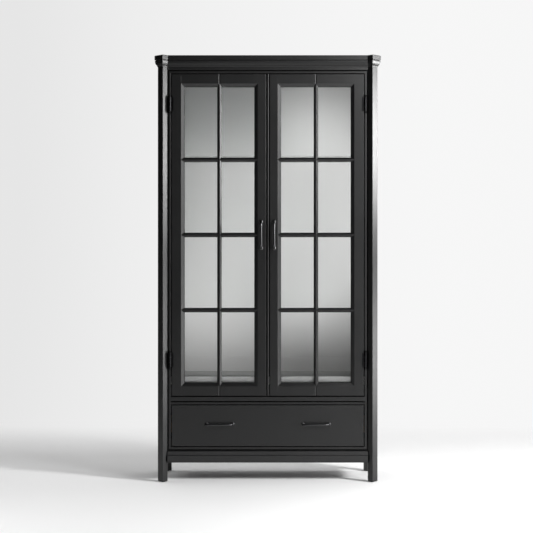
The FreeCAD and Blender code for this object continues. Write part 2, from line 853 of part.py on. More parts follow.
def handle_upright(x, z):
    """Bow handle on an upright centre line; its feet stand on the plane of the doors."""
    half = handle_spacing / 2.0
    turn = 90.0 - handle_bow_angle
    bow = math.radians(handle_bow_angle)
    shoulder_z = half - handle_bend + handle_bend * math.sin(bow)
    bow_radius = shoulder_z / math.sin(bow)
    rise = handle_bend * math.cos(bow) + bow_radius * (1.0 - math.cos(bow))
    neck = handle_projection - handle_bar_radius - rise
    foot = V(0, 0, half)
    upper = [
        Part.makeCylinder(handle_bar_radius, neck, foot, V(0, -1, 0)),
        bar_bend(V(0, -neck, half - handle_bend), handle_bend, handle_bow_angle, turn),
        handle_foot(foot),
    ]
    lower = [part.mirror(V(0, 0, 0), V(0, 0, 1)) for part in upper]
    centre = V(0, bow_radius + handle_bar_radius - handle_projection, 0)
    grip = bar_bend(centre, bow_radius, -handle_bow_angle, 2.0 * handle_bow_angle)
    handle = grip.fuse(upper + lower).removeSplitter()
    for end in (half, -half):
        handle = handle.cut(Part.makeCylinder(screw_radius, screw_grip, V(0, 0, end), V(0, -1, 0)))
    handle.translate(V(x, face_y, z))
    return handle


def handle_foot(centre):
    """Flared rose: a short rim on the door, hollowing in to the bar."""
    r = handle_foot_radius
    neck = handle_bar_radius
    spread = r - neck
    rise = handle_foot_height - handle_foot_rim
    foot = turned([
        (r, 0), (r, handle_foot_rim), (neck + spread * 0.35, handle_foot_rim + rise * 0.25),
        (neck, handle_foot_height),
    ])
    foot.rotate(V(0, 0, 0), V(1, 0, 0), 90)
    foot.translate(centre)
    return foot


def handle_across(x, z):
    """The same handle lying level."""
    handle = handle_upright(x, z)
    handle.rotate(V(x, face_y, z), V(0, 1, 0), 90)
    return handle


def handle_screw(x, z, back_y_of_wood):
    """Machine screw from behind, through the wood and into the foot of the handle."""
    shank_start = V(x, back_y_of_wood, z)
    length = back_y_of_wood - face_y + screw_grip
    shank = Part.makeCylinder(screw_radius, length, shank_start, V(0, -1, 0))
    head = Part.makeCylinder(screw_head_radius, screw_head_height, shank_start, V(0, 1, 0))
    return shank.fuse(head).removeSplitter()


def screw_holes(places, back_y_of_wood):
    holes = []
    for x, z in places:
        length = back_y_of_wood - face_y + 2.0
        holes.append(Part.makeCylinder(screw_radius, length, V(x, back_y_of_wood + 1, z), V(0, -1, 0)))
    return holes


def door_handle_places():
    half = handle_spacing / 2.0
    return [(handle_x, handle_z - half), (handle_x, handle_z + half)]


# ---- catches ----
def catch_block():
    x0 = catch_from_centre
    z0 = door_opening_top - catch_drop
    body = box(x0, frame_back_y, z0, x0 + catch_width, frame_back_y + catch_depth, z0 + catch_height)
    return body.makeChamfer(1.0, edges_in_plane(body, 1, frame_back_y + catch_depth))


def door_stops():
    """Laths behind the frame and up the middle; the doors close on them, so no gap shows what is inside."""
    y0 = frame_back_y
    y1 = frame_back_y + stop_thickness
    side_x0 = door_edge_x - stop_lap
    side_x1 = post_inner_x - stop_post_gap
    top_z = door_top_z - stop_lap
    catch_x0 = catch_from_centre - stop_catch_gap
    catch_x1 = catch_from_centre + catch_width + stop_catch_gap
    side = box(side_x0, y0, deck_height, side_x1, y1, top_z)
    top = box(catch_x1, y0, top_z, side_x1, y1, top_z + stop_width)
    between_catches = box(-catch_x0, y0, top_z, catch_x0, y1, top_z + stop_width)
    middle = box(-stop_middle_left, y0, deck_height, stop_middle_right, y1, top_z)
    return pair(side) + pair(top) + [between_catches, middle]


def strike_plate():
    x0 = catch_from_centre + (catch_width - strike_width) / 2.0
    z0 = door_opening_top - catch_drop + 2.0
    return box(x0, door_back_y, z0, x0 + strike_width, door_back_y + strike_thickness, z0 + strike_height)


# ---- drawer ----
def drawer_handle_places():
    return [-bar_x, bar_x]


def drawer_handle_z():
    return (drawer_bottom_z + drawer_top_z) / 2.0 + drawer_handle_raise


def drawer_screw_places():
    half = handle_spacing / 2.0
    return [(x + side * half, drawer_handle_z()) for x in drawer_handle_places() for side in (-1, 1)]


def drawer_front():
    back = face_y + drawer_front_thickness
    front = box(-door_edge_x, face_y, drawer_bottom_z, door_edge_x, back, drawer_top_z)
    front = front.makeFillet(edge_round, edges_in_plane(front, 1, face_y))
    for hole in screw_holes(drawer_screw_places(), back):
        front = front.cut(hole)
    return front


def drawer_side_outer_x():
    return jamb_x - drawer_side_gap


def drawer_box_base():
    return drawer_bottom_z + drawer_box_lift


def drawer_side():
    """Side with a groove outside for the runner, open behind, and one inside for the bottom."""
    x1 = drawer_side_outer_x()
    x0 = x1 - drawer_side_thickness
    y0 = face_y + drawer_front_thickness
    y1 = y0 + drawer_box_depth
    z0 = drawer_box_base()
    side = box(x0, y0, z0, x1, y1, z0 + drawer_side_height)
    centre = z0 + runner_centre
    half = runner_height / 2.0 + slide_clearance
    groove = box(x1 - runner_depth - slide_clearance, y0 - 1, centre - half, x1 + 1, y1 + 1, centre + half)
    slot_z = z0 + drawer_bottom_height
    slot = box(x0 - 1, y0 - 1, slot_z, x0 + drawer_bottom_groove, y1 + 1, slot_z + drawer_bottom_thickness)
    return side.cut(groove).cut(slot)


def drawer_back():
    x0 = drawer_side_outer_x() - drawer_side_thickness
    y1 = face_y + drawer_front_thickness + drawer_box_depth
    z0 = drawer_box_base() + drawer_bottom_height + drawer_bottom_thickness
    z1 = drawer_box_base() + drawer_side_height - drawer_back_drop
    return box(-x0, y1 - drawer_side_thickness, z0, x0, y1, z1)


def drawer_bottom():
    half = drawer_side_outer_x() - drawer_side_thickness + drawer_bottom_groove
    y0 = face_y + drawer_front_thickness
    z0 = drawer_box_base() + drawer_bottom_height
    return box(-half, y0, z0, half, y0 + drawer_box_depth, z0 + drawer_bottom_thickness)


def drawer_runner():
    """Packing block on the side panel with the hardwood runner that the drawer slides on."""
    x_side = drawer_side_outer_x()
    centre = drawer_box_base() + runner_centre
    y0 = max(frame_back_y, post_rear_y)
    y1 = face_y + drawer_front_thickness + drawer_box_depth
    half_block = runner_block_height / 2.0
    half_tongue = runner_height / 2.0
    block = box(x_side + 1.5, y0, centre - half_block, side_inner_x, y1, centre + half_block)
    tongue = box(x_side - runner_depth, y0, centre - half_tongue, x_side + 1.5, y1, centre + half_tongue)
    return block.fuse(tongue).removeSplitter()


# ---- write the parts ----
def write_cabinet():
    right_posts = [front_post(), rear_post()]
    posts = right_posts + [mirrored(post) for post in right_posts]
    save("front_post_left", mirrored(right_posts[0]))
    save("front_post_right", right_posts[0])
    save("rear_post_left", mirrored(right_posts[1]))
    save("rear_post_right", right_posts[1])
    save("foot_glides", *glides())
    left, front, right = cornice_parts(posts)
    save("cornice_left", left)
    save("cornice_front", front)
    save("cornice_right", right)
    save("top_board", top_board())
    for name, member in frame_members(face_frame()).items():
        save(name, member)
    front_moulding = base_moulding_front(posts)
    save("base_moulding_front", front_moulding)
    moulding = base_moulding_side(right_posts, front_moulding)
    save("base_moulding_sides", *pair(moulding))
    panel = side_panel()
    save("side_panel_left", mirrored(panel))
    save("side_panel_right", panel)
    save("back_panel", back_panel())
    save("back_rails", *back_rails())
    save("compartment_floor", compartment_floor(posts))
    save("bottom_board", bottom_board(posts))
    save("drawer_runners", *pair(drawer_runner()))
    for index, name in enumerate(("lower", "middle", "upper")):
        save("glass_shelf_" + name, glass_shelf(index))
    save("shelf_pins", *shelf_pins())
    leaves = [leaf for z in hinge_heights for leaf in pair(frame_leaf(z))]
    save("hinge_frame_leaves", *leaves)
    pins = [pin for z in hinge_heights for pin in pair(hinge_pin(z))]
    save("hinge_pins", *pins)
    save("magnetic_catches", *pair(catch_block()))
    save("door_stops", *door_stops())


def write_door(side, turn, inner_x):
    """side names the door; turn carries the right-hand shapes over to it."""
    ring = door_ring(inner_x)
    for name, member in door_members(ring, inner_x).items():
        if name == "meeting_stile":
            for hole in screw_holes(door_handle_places(), door_back_y):
                member = member.cut(hole)
        save(side + "_door_" + name, turn(member))
    save(side + "_door_bars", *[turn(bar) for bar in glazing_bars(ring)])
    save(side + "_door_glass", turn(door_glass()))
    save(side + "_door_glazing_beads", *[turn(bead) for bead in glazing_beads()])
    save(side + "_door_handle", turn(handle_upright(handle_x, handle_z)))
    screws = [handle_screw(x, z, door_back_y) for x, z in door_handle_places()]
    save(side + "_door_handle_screws", *[turn(screw) for screw in screws])
    save(side + "_door_hinge_leaves", *[turn(door_leaf(z)) for z in hinge_heights])
    save(side + "_door_strike_plate", turn(strike_plate()))


def write_drawer():
    save("drawer_front", drawer_front())
    save("drawer_sides", *pair(drawer_side()))
    save("drawer_back", drawer_back())
    save("drawer_bottom", drawer_bottom())
    handles = [handle_across(x, drawer_handle_z()) for x in drawer_handle_places()]
    save("drawer_handles", *handles)
    back = face_y + drawer_front_thickness
    save("drawer_handle_screws", *[handle_screw(x, z, back) for x, z in drawer_screw_places()])


os.makedirs("parts", exist_ok=True)
write_cabinet()
write_door("left", mirrored, left_stile_inner_x)
save("left_door_astragal", astragal())
write_door("right", lambda shape: shape, right_door_inner_x)
write_drawer()
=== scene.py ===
import bpy
import math
from mathutils import Matrix, Vector


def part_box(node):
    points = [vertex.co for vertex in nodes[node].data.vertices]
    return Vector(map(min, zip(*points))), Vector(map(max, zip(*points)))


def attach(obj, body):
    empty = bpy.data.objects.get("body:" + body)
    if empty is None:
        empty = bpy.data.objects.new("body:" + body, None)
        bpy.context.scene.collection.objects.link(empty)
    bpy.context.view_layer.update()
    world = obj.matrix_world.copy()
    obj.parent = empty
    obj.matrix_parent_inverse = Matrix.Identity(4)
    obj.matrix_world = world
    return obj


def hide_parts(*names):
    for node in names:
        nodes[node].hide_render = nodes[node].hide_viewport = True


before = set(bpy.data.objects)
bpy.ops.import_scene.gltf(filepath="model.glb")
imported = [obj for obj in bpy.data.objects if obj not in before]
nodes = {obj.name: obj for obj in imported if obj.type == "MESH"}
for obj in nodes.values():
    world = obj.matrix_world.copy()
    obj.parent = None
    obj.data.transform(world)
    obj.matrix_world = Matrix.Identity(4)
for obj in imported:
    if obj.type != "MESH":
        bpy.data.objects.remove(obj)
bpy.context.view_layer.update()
print("frame loaded:", len(nodes), "nodes")


# shading helpers, used by every finish below
def newMaterial(name):
    material = bpy.data.materials.new(name)
    material.use_nodes = True
    tree = material.node_tree
    return material, tree, tree.nodes["Principled BSDF"]


def placeIn(tree, scale=(1, 1, 1), turn=(0, 0, 0)):
    coordinates = tree.nodes.new("ShaderNodeTexCoord")
    mapping = tree.nodes.new("ShaderNodeMapping")
    mapping.inputs["Scale"].default_value = scale
    mapping.inputs["Rotation"].default_value = turn
    tree.links.new(coordinates.outputs["Object"], mapping.inputs["Vector"])
    return mapping.outputs["Vector"]


def noise(tree, place, scale, detail=4, rough=0.5, warp=0):
    texture = tree.nodes.new("ShaderNodeTexNoise")
    texture.inputs["Scale"].default_value = scale
    texture.inputs["Detail"].default_value = detail
    texture.inputs["Roughness"].default_value = rough
    texture.inputs["Distortion"].default_value = warp
    tree.links.new(place, texture.inputs["Vector"])
    return texture.outputs["Fac"]


def spread(tree, value, low, high, outLow, outHigh):
    node = tree.nodes.new("ShaderNodeMapRange")
    for socket, number in zip(("From Min", "From Max", "To Min", "To Max"), (low, high, outLow, outHigh)):
        node.inputs[socket].default_value = number
    tree.links.new(value, node.inputs["Value"])
    return node.outputs["Result"]


def reckon(tree, kind, first, second):
    node = tree.nodes.new("ShaderNodeMath")
    node.operation = kind
    for socket, value in zip(node.inputs, (first, second)):
        if isinstance(value, (int, float)):
            socket.default_value = value
        else:
            tree.links.new(value, socket)
    return node.outputs[0]


def blendColour(tree, share, first, second):
    node = tree.nodes.new("ShaderNodeMix")
    node.data_type = "RGBA"
    for socket, colour in ((node.inputs[6], first), (node.inputs[7], second)):
        if isinstance(colour, tuple):
            socket.default_value = (*colour, 1)
        else:
            tree.links.new(colour, socket)
    tree.links.new(share, node.inputs[0])
    return node.outputs[2]


def softEdges(tree, radius):
    bevel = tree.nodes.new("ShaderNodeBevel")
    bevel.samples = 6
    bevel.inputs["Radius"].default_value = radius
    return bevel.outputs["Normal"]


def edgeWear(tree, edges, start, full):
    # how far the eased normal leans away from the flat one: 0 on a face, 1 right on an arris
    geometry = tree.nodes.new("ShaderNodeNewGeometry")
    dot = tree.nodes.new("ShaderNodeVectorMath")
    dot.operation = "DOT_PRODUCT"
    tree.links.new(edges, dot.inputs[0])
    tree.links.new(geometry.outputs["True Normal"], dot.inputs[1])
    return spread(tree, dot.outputs["Value"], 1 - start, 1 - full, 0, 1)


def paintCornerShade(tree, shader, finish):
    # painted shade: a narrow gap or quirk gives back hardly any light, so its reflection is turned down here
    # and the caller paints it towards black
    hollowShade = tree.nodes.new("ShaderNodeAmbientOcclusion")
    hollowShade.samples = 6
    hollowShade.inputs["Distance"].default_value = finish["cornerReach"]
    openness = spread(tree, hollowShade.outputs["AO"], *finish["cornerOpening"], 0, 1)
    tree.links.new(reckon(tree, "MULTIPLY", openness, finish["shine"]), shader.inputs["Specular IOR Level"])
    return openness


def bump(tree, shader, height, strength, distance, under=None):
    node = tree.nodes.new("ShaderNodeBump")
    node.inputs["Strength"].default_value = strength
    node.inputs["Distance"].default_value = distance
    tree.links.new(height, node.inputs["Height"])
    if under is not None:
        tree.links.new(under, node.inputs["Normal"])
    tree.links.new(node.outputs["Normal"], shader.inputs["Normal"])


# satin black lacquer over wood; the grain that shows faintly through it runs along each board
lacquer = {
    "deep": (0.0050, 0.0051, 0.0053),
    "thin": (0.0072, 0.0072, 0.0073),
    "worn": (0.014, 0.0135, 0.013),
    # painted shade: the near black that hollows and corners are painted
    "hollowShade": (0.0008, 0.0008, 0.0008),
    "roughness": (0.335, 0.385),
    "shine": 0.5,
    "edgeRadius": 0.0009,
    "cornerReach": 0.014,
    "cornerOpening": (0.35, 0.8),  # share of open sky from black to full colour
    # painted light: how much lighter the rail near the floor is painted
    "footPaintedLight": 2.1,
    "grainDepth": 0.00018,
    "grainStrength": 0.10,
}
paleFinish = {
    "cool": (0.775, 0.775, 0.770),
    "warm": (0.815, 0.812, 0.805),
    "roughness": (0.46, 0.56),
}


def lacquerColour(tree, grain, lift=1.0):
    stretch = [190.0, 190.0, 190.0]
    stretch[grain] = 7.0
    pores = noise(tree, placeIn(tree, tuple(stretch)), 1.0, 6, 0.62, 0.2)
    cloud = noise(tree, placeIn(tree), 2.6, 3)
    deep, thin = (tuple(part * lift for part in lacquer[key]) for key in ("deep", "thin"))
    body = blendColour(tree, cloud, deep, thin)
    return pores, cloud, body


def makeLacquer(name, grain, lift=1.0):
    material, tree, shader = newMaterial(name)
    pores, cloud, body = lacquerColour(tree, grain, lift)
    edges = softEdges(tree, lacquer["edgeRadius"])
    patchy = spread(tree, noise(tree, placeIn(tree), 28.0, 3), 0.45, 0.7, 0, 1)
    wear = reckon(tree, "MULTIPLY", edgeWear(tree, edges, 0.10, 0.45), patchy)
    openness = paintCornerShade(tree, shader, lacquer)
    rubbed = blendColour(tree, wear, body, lacquer["worn"])
    # painted shade: hollows and corners are painted near black by how little open sky they see
    tree.links.new(blendColour(tree, openness, lacquer["hollowShade"], rubbed), shader.inputs["Base Color"])
    satin = reckon(tree, "ADD", cloud, noise(tree, placeIn(tree), 45.0, 2))
    tree.links.new(spread(tree, satin, 0.7, 1.3, *lacquer["roughness"]), shader.inputs["Roughness"])
    bump(tree, shader, pores, lacquer["grainStrength"], lacquer["grainDepth"], edges)
    return material


lacquerAcross = makeLacquer("blackLacquerAcross", 0)
lacquerDeep = makeLacquer("blackLacquerFrontToBack", 1)
lacquerUpright = makeLacquer("blackLacquerUpright", 2)
# painted light: the rail near the floor is painted lighter, standing in for light thrown up from the bright
# floor
lacquerFootPaintedLight = makeLacquer("blackLacquerFootRailPaintedLight", 0, lacquer["footPaintedLight"])

paleBoard, tree, shader = newMaterial("paleInterior")
cloud = noise(tree, placeIn(tree), 2.0, 3)
tree.links.new(blendColour(tree, cloud, paleFinish["cool"], paleFinish["warm"]), shader.inputs["Base Color"])
patches = noise(tree, placeIn(tree), 16.0, 3)
tree.links.new(spread(tree, patches, 0.3, 0.7, *paleFinish["roughness"]), shader.inputs["Roughness"])
bump(tree, shader, noise(tree, placeIn(tree), 700.0, 3), 0.06, 0.0001, softEdges(tree, 0.0006))

# the floor of the glazed compartment: its front lipping is black up to just over the door rail, partly a
# black lacquer band and partly painted shade that keeps the gap in front of it dark; its top is painted a
# darker grey as painted shade
deck = {
    "lippingTop": (0.4405, 0.4415),
    "deckTop": (0.4770, 0.4778),
    # painted shade: the darker grey of the deck's top
    "paintedTopShade": (0.34, 0.34, 0.335),
    "roughness": (0.36, 0.5),  # lipping, pale paint
}
deckPaint, tree, shader = newMaterial("deckPaint")
pores, cloud, body = lacquerColour(tree, 0)
split = tree.nodes.new("ShaderNodeSeparateXYZ")
tree.links.new(placeIn(tree), split.inputs[0])
painted = spread(tree, split.outputs["Z"], *deck["lippingTop"], 0, 1)
topShadeShare = spread(tree, split.outputs["Z"], *deck["deckTop"], 0, 1)
pale = blendColour(tree, cloud, paleFinish["cool"], paleFinish["warm"])
# painted shade: the top of the deck is painted darker than its lipping
shadedTop = blendColour(tree, topShadeShare, pale, deck["paintedTopShade"])
tree.links.new(blendColour(tree, painted, body, shadedTop), shader.inputs["Base Color"])
tree.links.new(spread(tree, painted, 0, 1, *deck["roughness"]), shader.inputs["Roughness"])
bump(tree, shader, pores, lacquer["grainStrength"], lacquer["grainDepth"], softEdges(tree, 0.0008))

# bare wood of the drawer box and its runners
bareWood = {
    "birchLight": (0.66, 0.50, 0.33),
    "birchDark": (0.49, 0.33, 0.19),
    "beechLight": (0.58, 0.38, 0.23),
    "beechDark": (0.44, 0.27, 0.15),
    "ring": (0.41, 0.27, 0.15),
    "ringShare": 0.45,
    "roughness": (0.40, 0.54),
}


def makeBareWood(name, grain, kind):
    material, tree, shader = newMaterial(name)
    stretch = [60.0, 60.0, 60.0]
    stretch[grain] = 2.2
    streaks = noise(tree, placeIn(tree, tuple(stretch)), 1.0, 6, 0.6, 0.6)
    waves = tree.nodes.new("ShaderNodeTexWave")
    waves.bands_direction = "Z" if grain != 2 else "X"
    waves.inputs["Scale"].default_value = 1.4
    waves.inputs["Distortion"].default_value = 9.0
    waves.inputs["Detail"].default_value = 3.0
    rings = [9.0, 9.0, 9.0]
    rings[grain] = 0.7
    tree.links.new(placeIn(tree, tuple(rings)), waves.inputs["Vector"])
    base = blendColour(tree, streaks, bareWood[kind + "Dark"], bareWood[kind + "Light"])
    ring = spread(tree, waves.outputs["Fac"], 0.75, 1.0, 0, bareWood["ringShare"])
    tree.links.new(blendColour(tree, ring, base, bareWood["ring"]), shader.inputs["Base Color"])
    tree.links.new(spread(tree, streaks, 0.3, 0.7, *bareWood["roughness"]), shader.inputs["Roughness"])
    bump(tree, shader, streaks, 0.12, 0.0003, softEdges(tree, 0.0006))
    return material


birchAcross = makeBareWood("birchAcross", 0, "birch")
birchDeep = makeBareWood("birchFrontToBack", 1, "birch")
beechDeep = makeBareWood("beechRunner", 1, "beech")
print("wood and paint ready")

glassFinish = {
    "pane": (0.985, 0.99, 0.988),
    "shelf": (0.955, 0.985, 0.972),
    "smear": (0.0, 0.035),
    "bending": 1.5,
}


def makeGlass(name, tint):
    # lamps and light from walls pass straight through a pane; the eye sees real glass
    material, tree, shader = newMaterial(name)
    shader.inputs["Base Color"].default_value = (*tint, 1)
    shader.inputs["Transmission Weight"].default_value = 1.0
    shader.inputs["IOR"].default_value = glassFinish["bending"]
    haze = spread(tree, noise(tree, placeIn(tree), 9.0, 4, 0.6), 0.5, 0.8, *glassFinish["smear"])
    tree.links.new(haze, shader.inputs["Roughness"])
    through = tree.nodes.new("ShaderNodeBsdfTransparent")
    through.inputs["Color"].default_value = (*tint, 1)
    rays = tree.nodes.new("ShaderNodeLightPath")
    either = tree.nodes.new("ShaderNodeMixShader")
    passing = reckon(tree, "MAXIMUM", rays.outputs["Is Shadow Ray"], rays.outputs["Is Diffuse Ray"])
    tree.links.new(passing, either.inputs["Fac"])
    tree.links.new(shader.outputs["BSDF"], either.inputs[1])
    tree.links.new(through.outputs["BSDF"], either.inputs[2])
    tree.links.new(either.outputs["Shader"], tree.nodes["Material Output"].inputs["Surface"])
    return material


paneGlass = makeGlass("paneGlass", glassFinish["pane"])
shelfGlass = makeGlass("shelfGlass", glassFinish["shelf"])

# blackened metal: body colour and the colour where hands or screws have rubbed it
metals = {
    "doorHandle": ((0.095, 0.095, 0.097), (0.135, 0.132, 0.126)),
    # painted shade: the drawer handles get a darker copy of the door handle metal
    "drawerHandle": ((0.070, 0.070, 0.072), (0.120, 0.118, 0.112)),
    "hinge": ((0.020, 0.020, 0.021), (0.050, 0.049, 0.046)),
    "blackRoughness": (0.30, 0.34),
    "zinc": (0.60, 0.61, 0.62),
    "zincDull": (0.42, 0.42, 0.41),
    "zincRoughness": (0.22, 0.42),
}


def makeBlackMetal(name, body, worn):
    material, tree, shader = newMaterial(name)
    edges = softEdges(tree, 0.0005)
    patchy = spread(tree, noise(tree, placeIn(tree), 120.0, 4), 0.4, 0.7, 0.0, 0.7)
    rub = reckon(tree, "MULTIPLY", edgeWear(tree, edges, 0.06, 0.4), patchy)
    tree.links.new(blendColour(tree, rub, body, worn), shader.inputs["Base Color"])
    patches = noise(tree, placeIn(tree), 60.0, 3)
    tree.links.new(spread(tree, patches, 0.3, 0.7, *metals["blackRoughness"]), shader.inputs["Roughness"])
    shader.inputs["Metallic"].default_value = 1.0
    bump(tree, shader, noise(tree, placeIn(tree), 1400.0, 2), 0.03, 0.00003)
    return material


handleMetal = makeBlackMetal("handleBlack", *metals["doorHandle"])
pullMetalShaded = makeBlackMetal("drawerPullBlackShaded", *metals["drawerHandle"])
hingeMetal = makeBlackMetal("hingeBlack", *metals["hinge"])

zincSteel, tree, shader = newMaterial("zincSteel")
spots = noise(tree, placeIn(tree), 300.0, 5, 0.65)
tree.links.new(blendColour(tree, spots, metals["zincDull"], metals["zinc"]), shader.inputs["Base Color"])
tree.links.new(spread(tree, spots, 0.3, 0.7, *metals["zincRoughness"]), shader.inputs["Roughness"])
shader.inputs["Metallic"].default_value = 1.0
bump(tree, shader, noise(tree, placeIn(tree), 2500.0, 2), 0.08, 0.00004, softEdges(tree, 0.0003))

plastics = {
    "catch": ((0.022, 0.022, 0.023), (0.034, 0.034, 0.035), (0.42, 0.55)),  # two tones, roughness
    "stop": ((0.70, 0.71, 0.71), (0.62, 0.63, 0.63), (0.35, 0.45)),
}


def makePlastic(name, first, second, roughness):
    material, tree, shader = newMaterial(name)
    speck = noise(tree, placeIn(tree), 90.0, 3)
    tree.links.new(blendColour(tree, speck, first, second), shader.inputs["Base Color"])
    tree.links.new(spread(tree, speck, 0.3, 0.7, *roughness), shader.inputs["Roughness"])
    bump(tree, shader, noise(tree, placeIn(tree), 1800.0, 2), 0.10, 0.00006, softEdges(tree, 0.0004))
    return material


blackPlastic = makePlastic("blackPlastic", *plastics["catch"])
softRubber = makePlastic("milkyRubber", *plastics["stop"])
print("glass, metal and plastic ready")


def dress(name, material):
    for place in nodes[name].material_slots:
        place.material = material


acrossWords = ("rail", "front", "board", "bottom")  # their grain runs from side to side
for name in nodes:
    if name == "back_panel":
        dress(name, paleBoard)
    elif name == "compartment_floor":
        dress(name, deckPaint)
    elif name.startswith("glass_shelf"):
        dress(name, shelfGlass)
    elif name.endswith("_glass"):
        dress(name, paneGlass)
    elif "screws" in name or "strike" in name or name == "shelf_pins":
        dress(name, zincSteel)
    elif name == "drawer_handles":
        dress(name, pullMetalShaded)
    elif "handle" in name:
        dress(name, handleMetal)
    elif "hinge_leaves" in name or name in ("hinge_frame_leaves", "hinge_pins"):
        dress(name, hingeMetal)
    elif name in ("drawer_back", "drawer_bottom"):
        dress(name, birchAcross)
    elif name == "drawer_sides":
        dress(name, birchDeep)
    elif name == "drawer_runners":
        dress(name, beechDeep)
    elif name in ("magnetic_catches", "foot_glides"):
        dress(name, blackPlastic)
    elif name == "base_moulding_front":
        dress(name, lacquerFootPaintedLight)
    elif name in ("cornice_left", "cornice_right", "base_moulding_sides"):
        dress(name, lacquerDeep)
    elif any(word in name for word in acrossWords) and "post" not in name:
        dress(name, lacquerAcross)
    else:
        dress(name, lacquerUpright)
print("CAD nodes dressed")


# modelling helpers
def clearAll():
    if bpy.context.mode != "OBJECT":
        bpy.ops.object.mode_set(mode="OBJECT")
    bpy.ops.object.select_all(action="DESELECT")


def workOn(piece):
    clearAll()
    piece.select_set(True)
    bpy.context.view_layer.objects.active = piece


def growFrom(place, direction, profile, sides):
    # a disc pulled out along direction ring by ring; profile is (distance, radius)
    clearAll()
    along = Vector(direction)
    start = Vector(place) + profile[0][0] * along
    bpy.ops.mesh.primitive_circle_add(
        vertices=sides, radius=profile[0][1], fill_type="NGON",
        location=start, rotation=along.to_track_quat("Z", "Y").to_euler(),
    )
    piece = bpy.context.object
    bpy.ops.object.transform_apply(location=True, rotation=True, scale=True)
    bpy.ops.object.mode_set(mode="EDIT")
    bpy.ops.mesh.select_all(action="SELECT")
    pullOut(place, along, profile)
    return piece


def pullOut(place, along, profile):
    for (before, wide), (after, narrow) in zip(profile, profile[1:]):
        bpy.ops.mesh.extrude_region_move(TRANSFORM_OT_translate={"value": (after - before) * along})
        if abs(narrow - wide) > 1e-7:
            ratio = narrow / wide
            centre = Vector(place) + after * along
            bpy.ops.transform.resize(value=(ratio, ratio, ratio), center_override=centre)


def tidyMesh(piece, angle=35):
    workOn(piece)
    bpy.ops.object.mode_set(mode="EDIT")
    bpy.ops.mesh.select_all(action="SELECT")
    bpy.ops.mesh.remove_doubles(threshold=0.00001)
    bpy.ops.mesh.normals_make_consistent(inside=False)
    bpy.ops.object.mode_set(mode="OBJECT")
    bpy.ops.object.shade_smooth_by_angle(angle=math.radians(angle))


def addModifier(piece, kind, **settings):
    workOn(piece)
    modifier = piece.modifiers.new(kind.lower(), kind)
    for key, value in settings.items():
        setattr(modifier, key, value)
    bpy.ops.object.modifier_apply(modifier=modifier.name)


def copyTo(piece, shift=(0, 0, 0), turn=None, about=(0, 0, 0)):
    workOn(piece)
    bpy.ops.object.duplicate(linked=False)
    copy = bpy.context.object
    place = Matrix.Translation(Vector(shift))
    if turn:
        centre = Vector(about)
        place = place @ Matrix.Translation(centre) @ turn.to_4x4() @ Matrix.Translation(-centre)
    copy.matrix_world = place
    bpy.ops.object.transform_apply(location=True, rotation=True, scale=True)
    return copy


def joinUp(pieces):
    workOn(pieces[0])
    for piece in pieces[1:]:
        piece.select_set(True)
    if len(pieces) > 1:
        bpy.ops.object.join()
    return bpy.context.object


def setOut(master, spots):
    # a copy at each (place, direction); the master stands at the origin and points up
    made = []
    for place, direction in spots:
        workOn(master)
        bpy.ops.object.duplicate(linked=False)
        copy = bpy.context.object
        facing = Vector(direction).to_track_quat("Z", "Y").to_matrix().to_4x4()
        copy.matrix_world = Matrix.Translation(Vector(place)) @ facing
        bpy.ops.object.transform_apply(location=True, rotation=True, scale=True)
        made.append(copy)
    return joinUp(made)


def pickFaces(piece, wanted):
    workOn(piece)
    bpy.ops.object.mode_set(mode="EDIT")
    bpy.ops.mesh.select_mode(type="FACE")
    bpy.ops.mesh.select_all(action="DESELECT")
    bpy.ops.object.mode_set(mode="OBJECT")
    for face in piece.data.polygons:
        face.select = wanted(face)
    bpy.ops.object.mode_set(mode="EDIT")


def cutCross(piece, top, length, width, depth):
    for angle in (0, 90):
        clearAll()
        bpy.ops.mesh.primitive_cube_add(size=1, location=(0, 0, top), rotation=(0, 0, math.radians(angle)))
        cutter = bpy.context.object
        cutter.scale = (length, width, 2 * depth)
        bpy.ops.object.transform_apply(location=True, rotation=True, scale=True)
        pickFaces(cutter, lambda face: face.normal.z < -0.9)
        bpy.ops.transform.resize(value=(0.6, 0.6, 1), center_override=(0, 0, top - depth))
        bpy.ops.object.mode_set(mode="OBJECT")
        addModifier(piece, "BOOLEAN", operation="DIFFERENCE", object=cutter)
        bpy.data.objects.remove(cutter)


def turnedPiece(profile, sides):
    piece = growFrom((0, 0, 0), (0, 0, 1), profile, sides)
    bpy.ops.object.mode_set(mode="OBJECT")
    return piece


def handOver(piece, name, body, material, stands=()):
    piece.name = name
    piece.data.name = name
    piece.data.materials.clear()
    piece.data.materials.append(material)
    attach(piece, body)
    if stands:
        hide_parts(*stands)


def facesBack(places):
    return [(place, (0, 1, 0)) for place in places]


# bow handles: rose, neck, bend, curved grip and back again, one closed bar
bowHandle = {
    "spacing": 0.120,
    "projection": 0.030,
    "bar": 0.0047,
    "bend": 0.018,
    "bow": math.radians(2.5),
    "rose": 0.0085,
    "roseRim": 0.0016,
    "roseHeight": 0.006,
    "roseCurve": ((0.12, 0.62), (0.32, 0.30), (0.62, 0.09)),  # shares of the way out and of the way in
    "cornerSteps": 9,
    "bowSteps": 14,
    "edge": 0.0003,
    "sides": 24,
}


